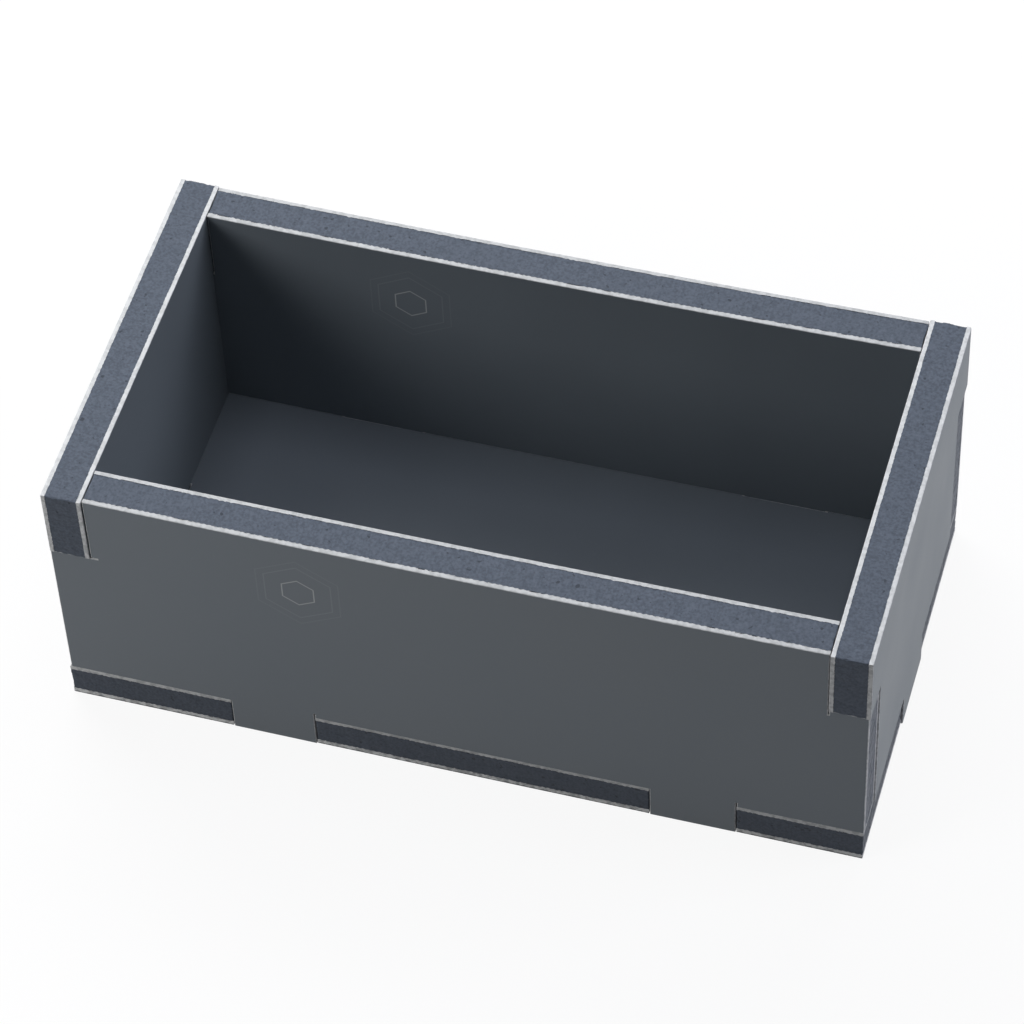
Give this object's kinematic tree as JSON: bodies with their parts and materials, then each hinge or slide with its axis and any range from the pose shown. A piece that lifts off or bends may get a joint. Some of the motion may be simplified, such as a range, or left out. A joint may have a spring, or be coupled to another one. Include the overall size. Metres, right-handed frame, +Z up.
{
  "type": "board game organizer tray",
  "caption": "Open rectangular foam board tray with glued finger joints: a compartment of a board game organizer insert that holds dice and tokens.",
  "frame": {"origin": "middle of the tray's underside, on the table", "axes": "+X along the tray's length to the right, -Y out of the front wall, +Z up"},
  "size_m": [0.0972, 0.0506, 0.0377],
  "materials": {
    "liner_paper": "matt grey printed paper with a white core that shows at the cut edges",
    "foam": "blue-grey foam, fine closed cells at the cut edges"
  },
  "bodies": {
    "root": {"base_bottom_liner": "liner_paper", "base_foam_core": "foam", "base_top_liner": "liner_paper", "front_wall_outer_liner": "liner_paper", "front_wall_foam_core": "foam", "front_wall_inner_liner": "liner_paper", "back_wall_outer_liner": "liner_paper", "back_wall_foam_core": "foam", "back_wall_inner_liner": "liner_paper", "left_wall_outer_liner": "liner_paper", "left_wall_foam_core": "foam", "left_wall_inner_liner": "liner_paper", "right_wall_outer_liner": "liner_paper", "right_wall_foam_core": "foam", "right_wall_inner_liner": "liner_paper"}
  },
  "joints": []
}
